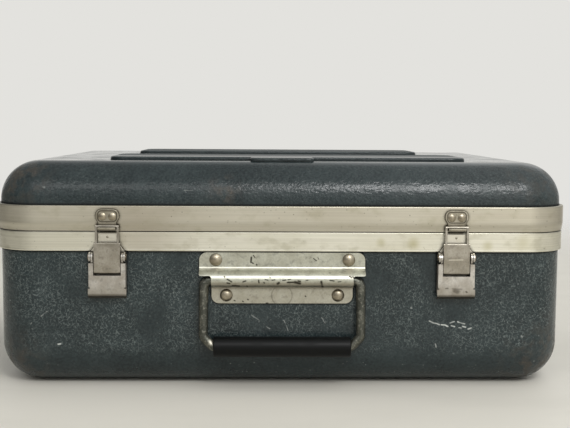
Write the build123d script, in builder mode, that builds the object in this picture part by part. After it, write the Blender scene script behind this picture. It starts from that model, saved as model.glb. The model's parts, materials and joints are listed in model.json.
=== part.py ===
"""Hard-shell computer carrying case: two moulded shells, aluminium bands and steel fittings.

Units are millimetres. X runs along the front, +Y points to the hinge side and +Z is up.
The origin is the centre of the flat underside. "Out" is a distance outwards from the
front or rear wall of the shells, a "half" value is measured from a centre line, and a
"drop" or a "rise" is a distance below or above the plane where the two shells part.
"""

from build123d import *
from math import asin, cos, degrees, pi, radians, sin, tan
import os

os.makedirs("parts", exist_ok=True)

# Moulded shells
case_width = 494.0
case_depth = 370.0
parting_height = 135.5
lid_height = 58.9
wall = 4.0
plan_corner_radius = 38.0
base_edge_radius = 36.0
lid_edge_radius = 34.0

# Raised stacking pads on the lid
front_pad_width = 322.0
front_pad_shift = 6.0
rear_pad_width = 300.0
pad_depth = 89.0
pad_spacing = 181.0
pad_height = 3.0
pad_corner_radius = 13.0
pad_top_round = 1.5
tab_width = 56.0
tab_reach = 20.0
tab_corner_radius = 4.0
pad_inner_radius = 9.0
tab_inner_radius = 1.0

# Aluminium bands that grip the shell edges
base_band_height = 16.7
lid_band_height = 21.3
band_proud = 2.6
lid_band_step_height = 7.5
lid_band_step_proud = 0.9
base_band_web = 2.4
lid_band_web = 3.8
band_inner_leg = 1.6
base_inner_leg_height = 14.0
lid_inner_leg_height = 18.0
band_edge_round = 0.5
slot_clearance = 0.1
seam_gap = 0.3
tongue_width = 1.6
tongue_height = 2.4
groove_clearance = 0.35
band_joint_slit = 0.5

# Rivets: shank, head diameter and head height
small_rivet = (3.5, 6.7, 1.0)
dot_rivet = (1.6, 2.2, 0.4)
base_rivet = (4.0, 7.0, 1.0)
hinge_rivet = (4.0, 7.5, 1.2)
handle_rivet = (5.0, 11.0, 2.6)
rivet_hole_clearance = 0.1
rivet_tail_height = 1.0
rivet_tail_spread = 0.9

# Draw latches
latch_spacing = 297.0
pivot_out = 6.2
pivot_drop = 21.5
crank_length = 11.8
crank_inset = 1.0
hook_bar_out = 6.3
hook_bar_rise = 4.6
hook_bar_diameter = 2.4
latch_running_clearance = 0.05
side_gap = 0.3

latch_base_sheet = 1.5
latch_base_width = 30.8
latch_base_bottom_drop = 53.5
latch_base_below_band = 0.4
ear_thickness = 1.5
ear_radius = 4.2
ear_foot = 10.0
tongue_plate_width = 16.0
tongue_plate_top_gap = 1.5
tongue_flare_width = 29.0
joggle_width = 22.0
tongue_flare_height = 8.6
tongue_rivet_drop = 4.5
base_rivet_drops = (47.5, 25.0)

lever_sheet = 1.6
lever_width = 31.2
lever_face_out = 8.7
lever_bottom_drop = 54.3
lever_window_drop = 37.1
lever_rail_drop = 26.6
lever_rail_width = 3.9
lever_flare = 0.6
lever_flare_height = 6.0
lever_notch_depth = 1.0
lever_notch_height = 1.2
lever_curl_height = 2.4
lever_curl_inset = 3.2
lever_flange_thickness = 1.5
lever_flange_end_radius = 3.8
lever_flange_drop = 51.0
lever_flange_inner_out = 2.4
pivot_pin_diameter = 3.0
pivot_head_diameter = 5.6
pivot_head_height = 0.8
pivot_tail_diameter = 4.4
pivot_tail_height = 0.5

link_sheet = 1.5
link_width = 22.4
link_knuckle_radius = 3.0
link_plate_drop = 8.9
link_top_round = 1.1
link_arm_width = 1.7
link_arm_inner_half = 8.3
link_arm_foot = 3.4
link_pin_diameter = 2.5

strike_sheet = 1.4
strike_width = 19.6
strike_bottom_rise = 7.9
strike_top_rise = 18.9
strike_corner_radius = 5.0
strike_taper_height = 4.0
strike_neck_width = 15.0
strike_rivet_spacing = 8.4
strike_rivet_rise = 12.7
hook_cup_width = 3.9
hook_floor_thickness = 1.3
hook_lip_thickness = 1.3
hook_lip_height = 0.9
hook_bar_rest_gap = 0.2

# Carrying handle
plate_sheet = 1.6
plate_upper_width = 142.0
plate_lower_width = 121.0
plate_top_drop = 17.8
plate_bottom_drop = 61.7
plate_corner_radius = 6.5
plate_shoulder_round = 1.5
plate_neck_radius = 2.0
plate_shoulder_gap = 0.7
plate_rivet_upper_half = 56.9
plate_rivet_upper_drop = 24.1
plate_rivet_lower_half = 47.9
plate_rivet_lower_drop = 54.7
bead_slack = 1.2
bead_rise = 0.8
bead_ramp_tilt = 57.0
bead_upper_bend = 2.2
bead_lower_bend = 0.8
bail_wire = 8.0
bail_half_width = 67.2
bail_pivot_drop = 41.6
bail_reach = 56.5
bail_elbow_radius = 6.0
bail_lower_chamfer = 8.4
bail_lower_radius = 5.0
bail_end_gap = 2.0
bail_clearance = 0.3
grip_diameter = 17.4
grip_length = 117.0
grip_bore_clearance = 0.1
grip_end_round = 1.0
grip_mouth_chamfer = 1.6
grip_rest_gap = 0.3
washer_diameter = 14.0
washer_thickness = 1.2

# Rear hinges
hinge_spacing = 300.0
leaf_width = 40.0
leaf_sheet = 1.5
hinge_axis_out = 6.6
knuckle_radius = 3.0
hinge_pin_diameter = 3.0
hinge_pin_clearance = 0.05
middle_knuckle_length = 20.0
knuckle_end_gap = 0.3
leaf_to_knuckle_gap = 0.5
lid_leaf_top_inset = 2.0
base_leaf_bottom_inset = 1.0
leaf_corner_radius = 3.0
leaf_rivet_half = 12.0
lid_leaf_rivet_rise = 13.5
base_leaf_rivet_drop = 9.7
hinge_pin_head = 4.6
hinge_pin_head_height = 0.8
stop_reach = 6.5
stop_width = 10.0
stop_thickness = 1.5
stop_gap = 0.3
lid_opening_angle = 100.0

# Foam lining
foam_wall_gap = 3.0
foam_corner_radius = 35.0
base_foam_edge_radius = 32.5
lid_foam_edge_radius = 30.5
base_foam_top_gap = 3.0
lid_foam_bottom_gap = 1.2
foam_rim_side = 24.0
foam_rim_front = 28.0
compartment_web = 20.0
accessory_width = 82.0
compartment_depth = 96.0
compartment_corner_radius = 12.0
finger_scoop_radius = 17.0
finger_scoop_depth = 62.0

# Places worked out from the sizes above
half_depth = case_depth / 2
lid_seam = parting_height + seam_gap
lid_top = parting_height + lid_height
base_wall_top = parting_height - base_band_web
lid_wall_bottom = lid_seam + lid_band_web
base_band_bottom = parting_height - base_band_height
lid_band_top = parting_height + lid_band_height
lid_band_step = parting_height + lid_band_step_height
upper_proud = band_proud + lid_band_step_proud
inner_leg_reach = wall + slot_clearance + band_inner_leg
pivot_height = parting_height - pivot_drop
hook_bar_height = parting_height + hook_bar_rise
latch_base_bottom = parting_height - latch_base_bottom_drop
base_rivet_heights = [parting_height - drop for drop in base_rivet_drops]
lever_bottom = parting_height - lever_bottom_drop
lever_window_bottom = parting_height - lever_window_drop
lever_rail_top = parting_height - lever_rail_drop
lever_flange_bottom = parting_height - lever_flange_drop
link_plate_top = parting_height - link_plate_drop
strike_bottom = parting_height + strike_bottom_rise
strike_top = parting_height + strike_top_rise
strike_rivet_height = parting_height + strike_rivet_rise
plate_top = parting_height - plate_top_drop
plate_bottom = parting_height - plate_bottom_drop
plate_rivet_upper_height = parting_height - plate_rivet_upper_drop
plate_rivet_lower_height = parting_height - plate_rivet_lower_drop
bail_pivot_height = parting_height - bail_pivot_drop
lid_leaf_rivet_height = parting_height + lid_leaf_rivet_rise
base_leaf_rivet_height = parting_height - base_leaf_rivet_drop
crank_pin_out = pivot_out - crank_inset
crank_pin_height = pivot_height - crank_length
bail_pivot_out = bail_wire / 2 + bail_clearance
plate_shoulder = bail_pivot_height + bail_wire / 2 + plate_shoulder_gap
bead_radius = bail_wire / 2 + bead_slack + plate_sheet
bead_height = bail_pivot_height + bead_rise
bail_rest_tilt = asin((grip_diameter / 2 + grip_rest_gap - bail_pivot_out) / bail_reach)


def front_plane(x=0.0, out=0.0):
    """Plane facing the viewer of the front, with local x along X and local y along Z."""
    return Plane(origin=(x, -half_depth - out, 0), x_dir=(1, 0, 0), z_dir=(0, -1, 0))


def rear_plane(x=0.0, out=0.0):
    """Plane facing away from the rear wall, with local y along Z."""
    return Plane(origin=(x, half_depth + out, 0), x_dir=(-1, 0, 0), z_dir=(0, 1, 0))


def front_side_plane(x=0.0):
    """Side view of the front fittings: local x is the distance out, local y is the height."""
    return Plane(origin=(x, -half_depth, 0), x_dir=(0, -1, 0), z_dir=(-1, 0, 0))


def rear_side_plane(x=0.0):
    """Side view of the rear fittings: local x is the distance out, local y is the height."""
    return Plane(origin=(x, half_depth, 0), x_dir=(0, 1, 0), z_dir=(1, 0, 0))


def save(piece, name):
    """Label a finished piece and write it to its own file."""
    piece.part.label = name
    export_step(piece.part, f"parts/{name}.step")


def ring_outline(offset_out):
    """Rounded rectangle that lies offset_out outside the walls of the shells."""
    with BuildSketch() as outline:
        RectangleRounded(
            case_width + 2 * offset_out,
            case_depth + 2 * offset_out,
            plan_corner_radius + offset_out,
        )
    return outline.sketch


def ring_block(bottom, top, offset_out):
    """Solid rounded block between two heights, offset_out outside the shell walls."""
    with BuildPart() as block:
        with BuildSketch(Plane.XY.offset(bottom)):
            add(ring_outline(offset_out))
        extrude(amount=top - bottom)
    return block.part


def drill_row(plane, points, diameter, depth):
    """Round cutters that start on a plane and run against its normal."""
    with BuildPart() as cutters:
        with BuildSketch(plane):
            with Locations(*points):
                Circle(diameter / 2)
        extrude(amount=-depth)
    return cutters.part


def rivet_group(plane, points, sizes, grip):
    """Domed rivets with their heads on a plane, a shank of length grip and a flat tail."""
    shank, head, height = sizes
    dome_radius = (head * head / 4 + height * height) / (2 * height)
    with BuildPart() as rivet:
        with BuildSketch(Plane.XZ):
            with BuildLine():
                Line((0, -grip - rivet_tail_height), (0, height))
                RadiusArc((0, height), (head / 2, 0), dome_radius)
                Polyline(
                    (head / 2, 0),
                    (shank / 2, 0),
                    (shank / 2, -grip),
                    (shank / 2 + rivet_tail_spread, -grip),
                    (shank / 2 + rivet_tail_spread, -grip - rivet_tail_height),
                    (0, -grip - rivet_tail_height),
                )
            make_face()
        revolve(axis=Axis.Z)
    with BuildPart() as group:
        with Locations(*[plane.location * Pos(x, y, 0) for x, y in points]):
            add(rivet.part)
    return group


# Rivet places, in the planes that they are driven through
latch_centres = {"left": -latch_spacing / 2, "right": latch_spacing / 2}
hinge_centres = {"left": -hinge_spacing / 2, "right": hinge_spacing / 2}
tongue_rivet_height = parting_height - tongue_rivet_drop
handle_points = [
    (-plate_rivet_upper_half, plate_rivet_upper_height),
    (plate_rivet_upper_half, plate_rivet_upper_height),
    (-plate_rivet_lower_half, plate_rivet_lower_height),
    (plate_rivet_lower_half, plate_rivet_lower_height),
]
latch_base_points = [(0, height) for height in base_rivet_heights]
strike_points = [
    (-strike_rivet_spacing / 2, strike_rivet_height),
    (strike_rivet_spacing / 2, strike_rivet_height),
]
lid_leaf_points = [(-leaf_rivet_half, lid_leaf_rivet_height), (leaf_rivet_half, lid_leaf_rivet_height)]
base_leaf_points = [(-leaf_rivet_half, base_leaf_rivet_height), (leaf_rivet_half, base_leaf_rivet_height)]


def hole_size(sizes):
    """Diameter of the hole that a rivet's shank passes through."""
    return sizes[0] + rivet_hole_clearance


drill_depth = upper_proud + inner_leg_reach + rivet_tail_height
base_holes = [drill_row(front_plane(out=band_proud), handle_points, hole_size(handle_rivet), drill_depth)]
lid_holes = []
for centre in latch_centres.values():
    latch_front = front_plane(centre, upper_proud)
    base_holes.append(drill_row(latch_front, latch_base_points, hole_size(base_rivet), drill_depth))
    base_holes.append(drill_row(latch_front, [(0, tongue_rivet_height)], hole_size(dot_rivet), drill_depth))
    lid_holes.append(drill_row(latch_front, strike_points, hole_size(small_rivet), drill_depth))
for centre in hinge_centres.values():
    hinge_rear = rear_plane(centre, upper_proud)
    base_holes.append(drill_row(hinge_rear, base_leaf_points, hole_size(hinge_rivet), drill_depth))
    lid_holes.append(drill_row(hinge_rear, lid_leaf_points, hole_size(hinge_rivet), drill_depth))


# Base shell: a deep tray with a flat floor and a large round along its lower edge
with BuildPart() as base_hollow:
    add(ring_block(wall, base_wall_top, -wall))
    fillet(base_hollow.faces().sort_by(Axis.Z)[0].edges(), base_edge_radius - wall)

with BuildPart() as base_shell:
    add(ring_block(0, base_wall_top, 0))
    fillet(base_shell.faces().sort_by(Axis.Z)[0].edges(), base_edge_radius)
    add(base_hollow.part, mode=Mode.SUBTRACT)
    add(base_holes, mode=Mode.SUBTRACT)
save(base_shell, "base_shell")


def pad_outline(pad_radius, tab_radius, shrink=0.0):
    """The two raised pads, the front one with a short tab, all edges drawn in by shrink."""
    with BuildSketch() as outline:
        with Locations((front_pad_shift, -pad_spacing / 2)):
            RectangleRounded(front_pad_width - 2 * shrink, pad_depth - 2 * shrink, pad_radius)
        with Locations((0, pad_spacing / 2)):
            RectangleRounded(rear_pad_width - 2 * shrink, pad_depth - 2 * shrink, pad_radius)
        with Locations((0, -pad_spacing / 2 - pad_depth / 2)):
            RectangleRounded(tab_width - 2 * shrink, 2 * tab_reach - 2 * shrink, tab_radius)
    return outline.sketch


# Lid shell: a shallow tray upside down, with its pads raised from inside as well
with BuildPart() as lid_hollow:
    add(ring_block(lid_wall_bottom, lid_top - wall, -wall))
    fillet(lid_hollow.faces().sort_by(Axis.Z)[-1].edges(), lid_edge_radius - wall)

with BuildPart() as lid_shell:
    add(ring_block(lid_wall_bottom, lid_top, 0))
    fillet(lid_shell.faces().sort_by(Axis.Z)[-1].edges(), lid_edge_radius)
    add(lid_hollow.part, mode=Mode.SUBTRACT)
    with BuildSketch(Plane.XY.offset(lid_top)):
        add(pad_outline(pad_corner_radius, tab_corner_radius))
    extrude(amount=pad_height)
    fillet(lid_shell.faces().group_by(Axis.Z)[-1].edges(), pad_top_round)
    with BuildSketch(Plane.XY.offset(lid_top - wall)):
        add(pad_outline(pad_inner_radius, tab_inner_radius, wall))
    extrude(amount=pad_height, mode=Mode.SUBTRACT)
    add(lid_holes, mode=Mode.SUBTRACT)
save(lid_shell, "lid_shell")

# Cutters shared by the bands
with BuildPart() as joint_slit:
    with Locations((0, half_depth, parting_height)):
        Box(band_joint_slit, 2 * (inner_leg_reach + upper_proud), 2 * (lid_band_height + base_band_height))
tongue_outer = -(wall - tongue_width) / 2
tongue_inner = tongue_outer - tongue_width
tongue_ring = ring_block(parting_height, parting_height + tongue_height, tongue_outer)
tongue_core = ring_block(parting_height, parting_height + tongue_height, tongue_inner)
groove_top = lid_seam + tongue_height - seam_gap + groove_clearance
groove_ring = ring_block(lid_seam, groove_top, tongue_outer + groove_clearance)
groove_core = ring_block(lid_seam, groove_top, tongue_inner - groove_clearance)

# Base band: a channel over the top edge of the base, with a tongue for the lid band
with BuildPart() as base_band:
    add(ring_block(base_band_bottom, parting_height, band_proud))
    fillet(base_band.faces().filter_by(Axis.Z).edges(), band_edge_round)
    add(ring_block(base_band_bottom, base_wall_top, slot_clearance), mode=Mode.SUBTRACT)
    base_leg_bottom = base_wall_top - base_inner_leg_height
    add(ring_block(base_leg_bottom, base_wall_top, -wall - slot_clearance))
    add(ring_block(base_leg_bottom, parting_height, -inner_leg_reach), mode=Mode.SUBTRACT)
    add(tongue_ring)
    add(tongue_core, mode=Mode.SUBTRACT)
    add(base_holes + [joint_slit.part], mode=Mode.SUBTRACT)
save(base_band, "base_band")

# Lid band: the wider channel, stepped on its outer face, with a groove for the tongue
with BuildPart() as lid_band:
    add(ring_block(lid_seam, lid_band_top, band_proud))
    fillet(lid_band.faces().sort_by(Axis.Z)[0].edges(), band_edge_round)
    add(ring_block(lid_band_step, lid_band_top, upper_proud))
    fillet(lid_band.faces().sort_by(Axis.Z)[-1].edges(), band_edge_round)
    add(ring_block(lid_wall_bottom, lid_band_top, slot_clearance), mode=Mode.SUBTRACT)
    lid_leg_top = lid_wall_bottom + lid_inner_leg_height
    add(ring_block(lid_wall_bottom, lid_leg_top, -wall - slot_clearance))
    add(ring_block(lid_seam, lid_leg_top, -inner_leg_reach), mode=Mode.SUBTRACT)
    add(groove_ring, mode=Mode.SUBTRACT)
    add(groove_core)
    add(ring_block(lid_seam, groove_top, -inner_leg_reach), mode=Mode.SUBTRACT)
    add(lid_holes + [joint_slit.part], mode=Mode.SUBTRACT)
save(lid_band, "lid_band")

def plate_section(radius, face_out):
    """Side section behind one face of the handle plate: flat, then a ramp and a round over the rod."""
    tilt = radians(bead_ramp_tilt)
    ramp_end = (bail_pivot_out + radius * cos(tilt), bead_height + radius * sin(tilt))
    middle = (tilt - pi / 2) / 2
    crest = (bail_pivot_out + radius * cos(middle), bead_height + radius * sin(middle))
    crease = (face_out, ramp_end[1] + (ramp_end[0] - face_out) / tan(tilt))
    foot = (face_out, bead_height - radius)
    with BuildSketch() as section:
        with BuildLine():
            Line(foot, (bail_pivot_out, bead_height - radius))
            ThreePointArc((bail_pivot_out, bead_height - radius), crest, ramp_end)
            Polyline(ramp_end, crease, foot)
        make_face()
        with Locations((face_out - plate_sheet / 2, (plate_top + plate_bottom) / 2)):
            Rectangle(plate_sheet, plate_top - plate_bottom)
        fillet(section.vertices().sort_by_distance(crease)[0], bead_upper_bend + plate_sheet - face_out)
        fillet(section.vertices().sort_by_distance(foot)[0], bead_lower_bend + plate_sheet - face_out)
    return section.sketch


# Carrying handle plate: a pressed sheet with a bead over the bail's pivot rod
with BuildPart() as handle_plate:
    with BuildSketch(front_side_plane()):
        add(plate_section(bead_radius, plate_sheet))
    extrude(amount=plate_upper_width / 2, both=True)
    with BuildSketch(front_side_plane()):
        add(plate_section(bead_radius - plate_sheet, 0))
    extrude(amount=plate_upper_width / 2, both=True, mode=Mode.SUBTRACT)
    with BuildSketch(front_plane()) as plate_blank:
        with Locations((0, (plate_top + plate_shoulder) / 2)):
            Rectangle(plate_upper_width, plate_top - plate_shoulder)
        with Locations((0, (plate_top + plate_bottom) / 2)):
            Rectangle(plate_lower_width, plate_top - plate_bottom)
        plate_corners = plate_blank.vertices().group_by(Axis.Y)
        fillet(plate_corners[0] + plate_corners[-1], plate_corner_radius)
        for side in (-1, 1):
            neck = (side * plate_lower_width / 2, plate_shoulder)
            fillet(plate_blank.vertices().sort_by_distance(neck)[0], plate_neck_radius)
            shoulder = (side * plate_upper_width / 2, plate_shoulder)
            fillet(plate_blank.vertices().sort_by_distance(shoulder)[0], plate_shoulder_round)
    extrude(amount=bail_pivot_out + bead_radius + plate_sheet, mode=Mode.INTERSECT)
    add(
        drill_row(front_plane(out=plate_sheet), handle_points, hole_size(handle_rivet), 2 * plate_sheet),
        mode=Mode.SUBTRACT,
    )
save(handle_plate, "handle_plate")

handle_grip_length = plate_sheet + wall + washer_thickness
handle_rivets = rivet_group(front_plane(out=plate_sheet), handle_points, handle_rivet, handle_grip_length)
save(handle_rivets, "handle_rivets")

with BuildPart() as handle_washers:
    with BuildSketch(front_plane(out=-wall)):
        with Locations(*handle_points):
            Circle(washer_diameter / 2)
            Circle(hole_size(handle_rivet) / 2, mode=Mode.SUBTRACT)
    extrude(amount=-washer_thickness)
save(handle_washers, "handle_washers")

# Bail: one bent rod whose ends meet inside the grip; it hangs with the grip by the shell
bail_plane = Plane(
    origin=(0, -half_depth - bail_pivot_out, bail_pivot_height),
    x_dir=(1, 0, 0),
    z_dir=(0, -cos(bail_rest_tilt), sin(bail_rest_tilt)),
)
bail_points = [
    (-bail_end_gap / 2, -bail_reach),
    (bail_lower_chamfer - bail_half_width, -bail_reach),
    (-bail_half_width, bail_lower_chamfer - bail_reach),
    (-bail_half_width, 0),
    (bail_half_width, 0),
    (bail_half_width, bail_lower_chamfer - bail_reach),
    (bail_half_width - bail_lower_chamfer, -bail_reach),
    (bail_end_gap / 2, -bail_reach),
]
bail_radii = [
    bail_lower_radius,
    bail_lower_radius,
    bail_elbow_radius,
    bail_elbow_radius,
    bail_lower_radius,
    bail_lower_radius,
]
with BuildPart() as handle_bail:
    with BuildLine(bail_plane) as bail_path:
        FilletPolyline(*bail_points, radius=bail_radii)
    with BuildSketch(Plane(origin=bail_path.line @ 0, z_dir=bail_path.line % 0)):
        Circle(bail_wire / 2)
    sweep(path=bail_path.line)
save(handle_bail, "handle_bail")

grip_plane = Plane(
    origin=bail_plane.from_local_coords((-grip_length / 2, -bail_reach, 0)),
    z_dir=(1, 0, 0),
)
with BuildPart() as handle_grip:
    with BuildSketch(grip_plane):
        Circle(grip_diameter / 2)
    extrude(amount=grip_length)
    fillet(handle_grip.edges().filter_by(GeomType.CIRCLE), grip_end_round)
    with BuildSketch(grip_plane):
        Circle((bail_wire + grip_bore_clearance) / 2)
    extrude(amount=grip_length, mode=Mode.SUBTRACT)
    grip_ends = handle_grip.faces().filter_by(Axis.X)
    chamfer([face.inner_wires()[0].edges() for face in grip_ends], grip_mouth_chamfer)
save(handle_grip, "handle_grip")


# Draw latches, one each side of the handle
flange_outer_half = latch_base_width / 2 - ear_thickness - side_gap
flange_inner_half = flange_outer_half - lever_flange_thickness
tongue_top = parting_height - tongue_plate_top_gap
plate_end = base_band_bottom - latch_base_below_band
link_face_out = crank_pin_out + link_knuckle_radius
neck_face_out = upper_proud + strike_sheet
hook_floor = hook_bar_height - hook_bar_diameter / 2 - hook_bar_rest_gap

for side, centre in latch_centres.items():
    side_view = front_side_plane(centre)

    # Base plate: riveted below the band, with two ears and a tongue that lies on the band
    with BuildPart() as latch_base:
        with BuildSketch(front_plane(centre)):
            with Locations((0, (plate_end + latch_base_bottom) / 2)):
                Rectangle(latch_base_width, plate_end - latch_base_bottom)
        extrude(amount=latch_base_sheet)
        with BuildSketch(front_plane(centre, band_proud)):
            with Locations((0, (tongue_top + plate_end) / 2)):
                Rectangle(tongue_plate_width, tongue_top - plate_end)
            with Locations((0, plate_end - latch_base_sheet / 2)):
                Rectangle(joggle_width, latch_base_sheet)
            with BuildLine():
                Polyline(
                    (-tongue_flare_width / 2, plate_end),
                    (tongue_flare_width / 2, plate_end),
                    (tongue_plate_width / 2, plate_end + tongue_flare_height),
                    (-tongue_plate_width / 2, plate_end + tongue_flare_height),
                    close=True,
                )
            make_face()
        extrude(amount=latch_base_sheet)
        with BuildSketch(front_plane(centre)):
            with Locations((0, plate_end - latch_base_sheet / 2)):
                Rectangle(joggle_width, latch_base_sheet)
        extrude(amount=band_proud + latch_base_sheet)
        for ear_middle in (-latch_base_width / 2 + ear_thickness / 2, latch_base_width / 2 - ear_thickness / 2):
            with BuildSketch(front_side_plane(centre + ear_middle)):
                with Locations((pivot_out, pivot_height)):
                    Circle(ear_radius)
                with Locations((latch_base_sheet / 2, plate_end - ear_foot / 2)):
                    Rectangle(latch_base_sheet, ear_foot)
                make_hull()
                with Locations((pivot_out, pivot_height)):
                    Circle(pivot_pin_diameter / 2 + latch_running_clearance, mode=Mode.SUBTRACT)
            extrude(amount=ear_thickness / 2, both=True)
        latch_front = front_plane(centre, band_proud + latch_base_sheet)
        latch_depth = band_proud + 2 * latch_base_sheet
        add(drill_row(latch_front, latch_base_points, hole_size(base_rivet), latch_depth), mode=Mode.SUBTRACT)
        add(
            drill_row(latch_front, [(0, tongue_rivet_height)], hole_size(dot_rivet), latch_depth),
            mode=Mode.SUBTRACT,
        )
    save(latch_base, f"latch_base_{side}")

    base_rivets = rivet_group(
        front_plane(centre, latch_base_sheet), latch_base_points, base_rivet, latch_base_sheet + wall
    )
    save(base_rivets, f"latch_base_rivets_{side}")

    tongue_rivet = rivet_group(
        latch_front,
        [(0, tongue_rivet_height)],
        dot_rivet,
        latch_base_sheet + band_proud + inner_leg_reach,
    )
    save(tongue_rivet, f"latch_tongue_rivet_{side}")

    # Lever: a face plate with two rails, two pivot flanges and a turned-in lower edge
    with BuildPart() as lever:
        with BuildSketch(front_plane(centre, lever_face_out - lever_sheet)):
            with Locations((0, (lever_rail_top + lever_bottom) / 2)):
                Rectangle(lever_width, lever_rail_top - lever_bottom)
            with Locations((0, (lever_rail_top + lever_window_bottom) / 2)):
                Rectangle(
                    lever_width - 2 * lever_rail_width,
                    lever_rail_top - lever_window_bottom,
                    mode=Mode.SUBTRACT,
                )
            with Locations((0, lever_bottom + lever_flare_height / 2)):
                Rectangle(lever_width + 2 * lever_flare, lever_flare_height)
            notch_height = lever_bottom + lever_flare_height + lever_notch_height / 2
            with Locations((-lever_width / 2, notch_height), (lever_width / 2, notch_height)):
                Rectangle(2 * lever_notch_depth, lever_notch_height, mode=Mode.SUBTRACT)
        extrude(amount=lever_sheet)
        with BuildSketch(side_view):
            with BuildLine():
                Polyline(
                    (lever_face_out, lever_bottom),
                    (lever_face_out - lever_curl_inset, lever_bottom - lever_curl_height),
                    (lever_face_out - lever_curl_inset - lever_sheet, lever_bottom - lever_curl_height),
                    (lever_face_out - lever_sheet, lever_bottom),
                    close=True,
                )
            make_face()
        extrude(amount=lever_width / 2 + lever_flare, both=True)
        for flange_middle in (
            -(flange_outer_half + flange_inner_half) / 2,
            (flange_outer_half + flange_inner_half) / 2,
        ):
            with BuildSketch(front_side_plane(centre + flange_middle)):
                with BuildLine():
                    Polyline(
                        (pivot_out - lever_flange_end_radius, pivot_height),
                        (lever_flange_inner_out, lever_window_bottom),
                        (lever_face_out - lever_sheet, lever_flange_bottom),
                        (lever_face_out - lever_sheet / 2, lever_flange_bottom),
                        (lever_face_out - lever_sheet / 2, lever_rail_top),
                        (pivot_out + lever_flange_end_radius, pivot_height),
                        close=True,
                    )
                make_face()
                with Locations((pivot_out, pivot_height)):
                    Circle(lever_flange_end_radius)
                    Circle(pivot_pin_diameter / 2 + latch_running_clearance, mode=Mode.SUBTRACT)
                with Locations((crank_pin_out, crank_pin_height)):
                    Circle(link_pin_diameter / 2, mode=Mode.SUBTRACT)
            extrude(amount=lever_flange_thickness / 2, both=True)
    save(lever, f"latch_lever_{side}")

    # Pivot rivets: two stubs, each through one ear and one flange of the lever
    with BuildPart() as pivots:
        for direction in (-1, 1):
            stub_spans = (
                (latch_base_width / 2, pivot_head_height, pivot_head_diameter),
                (flange_inner_half, latch_base_width / 2 - flange_inner_half, pivot_pin_diameter),
                (flange_inner_half - pivot_tail_height, pivot_tail_height, pivot_tail_diameter),
            )
            for start, length, diameter in stub_spans:
                stub_plane = Plane(
                    origin=(centre + direction * start, -half_depth - pivot_out, pivot_height),
                    z_dir=(direction, 0, 0),
                )
                with BuildSketch(stub_plane):
                    Circle(diameter / 2)
                extrude(amount=length)
    save(pivots, f"latch_pivots_{side}")

    # Link: a cover plate rolled round its pin, with two arms and the hook bar
    with BuildPart() as link:
        knuckle_half = link_width / 2
        with BuildSketch(side_view):
            with Locations((crank_pin_out, crank_pin_height)):
                Circle(link_knuckle_radius)
        extrude(amount=knuckle_half, both=True)
        with BuildSketch(side_view):
            with Locations((link_face_out - link_sheet / 2, (link_plate_top + crank_pin_height) / 2)):
                Rectangle(link_sheet, link_plate_top - crank_pin_height)
        extrude(amount=link_width / 2, both=True)
        top_edge = link.edges().filter_by(Axis.X).group_by(Axis.Z)[-1].sort_by(Axis.Y)[0]
        fillet(top_edge, link_top_round)
        arm_foot = link_plate_top - link_arm_foot
        for arm_middle in (
            -link_arm_inner_half - link_arm_width / 2,
            link_arm_inner_half + link_arm_width / 2,
        ):
            with BuildSketch(front_side_plane(centre + arm_middle)):
                with BuildLine():
                    Polyline(
                        (link_face_out - link_sheet, arm_foot),
                        (link_face_out, arm_foot),
                        (link_face_out, link_plate_top - link_top_round),
                        (hook_bar_out + hook_bar_diameter / 2, hook_bar_height),
                        (hook_bar_out - hook_bar_diameter / 2, hook_bar_height),
                        close=True,
                    )
                make_face()
                with Locations((hook_bar_out, hook_bar_height)):
                    Circle(hook_bar_diameter / 2)
            extrude(amount=link_arm_width / 2, both=True)
        with BuildSketch(side_view):
            with Locations((hook_bar_out, hook_bar_height)):
                Circle(hook_bar_diameter / 2)
        extrude(amount=link_arm_inner_half + link_arm_width, both=True)
        with BuildSketch(side_view):
            with Locations((crank_pin_out, crank_pin_height)):
                Circle(link_pin_diameter / 2 + latch_running_clearance)
        extrude(amount=knuckle_half, both=True, mode=Mode.SUBTRACT)
    save(link, f"latch_link_{side}")

    with BuildPart() as link_pin:
        with BuildSketch(side_view):
            with Locations((crank_pin_out, crank_pin_height)):
                Circle(link_pin_diameter / 2)
        extrude(amount=flange_outer_half, both=True)
    save(link_pin, f"latch_link_pin_{side}")

    # Strike: a riveted plate on the lid band whose neck ends in an upturned hook
    with BuildPart() as strike:
        with BuildSketch(front_plane(centre, upper_proud)) as strike_outline:
            with BuildLine():
                Polyline(
                    (-strike_neck_width / 2, strike_bottom),
                    (strike_neck_width / 2, strike_bottom),
                    (strike_width / 2, strike_bottom + strike_taper_height),
                    (strike_width / 2, strike_top),
                    (-strike_width / 2, strike_top),
                    (-strike_width / 2, strike_bottom + strike_taper_height),
                    close=True,
                )
            make_face()
            fillet(strike_outline.vertices().group_by(Axis.Y)[-1], strike_corner_radius)
            strike_foot = hook_floor - hook_floor_thickness
            with Locations((0, (strike_bottom + strike_foot) / 2)):
                Rectangle(strike_neck_width, strike_bottom - strike_foot)
        extrude(amount=strike_sheet)
        with BuildSketch(side_view):
            with BuildLine():
                lip_out = neck_face_out + hook_cup_width
                Polyline(
                    (upper_proud, hook_floor - hook_floor_thickness),
                    (lip_out + hook_lip_thickness, hook_floor - hook_floor_thickness),
                    (lip_out + hook_lip_thickness, hook_floor + hook_lip_height),
                    (lip_out, hook_floor + hook_lip_height),
                    (lip_out, hook_floor),
                    (upper_proud, hook_floor),
                    close=True,
                )
            make_face()
        extrude(amount=strike_neck_width / 2, both=True)
        hook_corner = strike.edges().filter_by(Axis.X).group_by(Axis.Z)[0].sort_by(Axis.Y)[0]
        fillet(hook_corner, hook_floor_thickness)
        add(
            drill_row(
                front_plane(centre, neck_face_out), strike_points, hole_size(small_rivet), 2 * strike_sheet
            ),
            mode=Mode.SUBTRACT,
        )
    save(strike, f"latch_strike_{side}")

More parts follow.
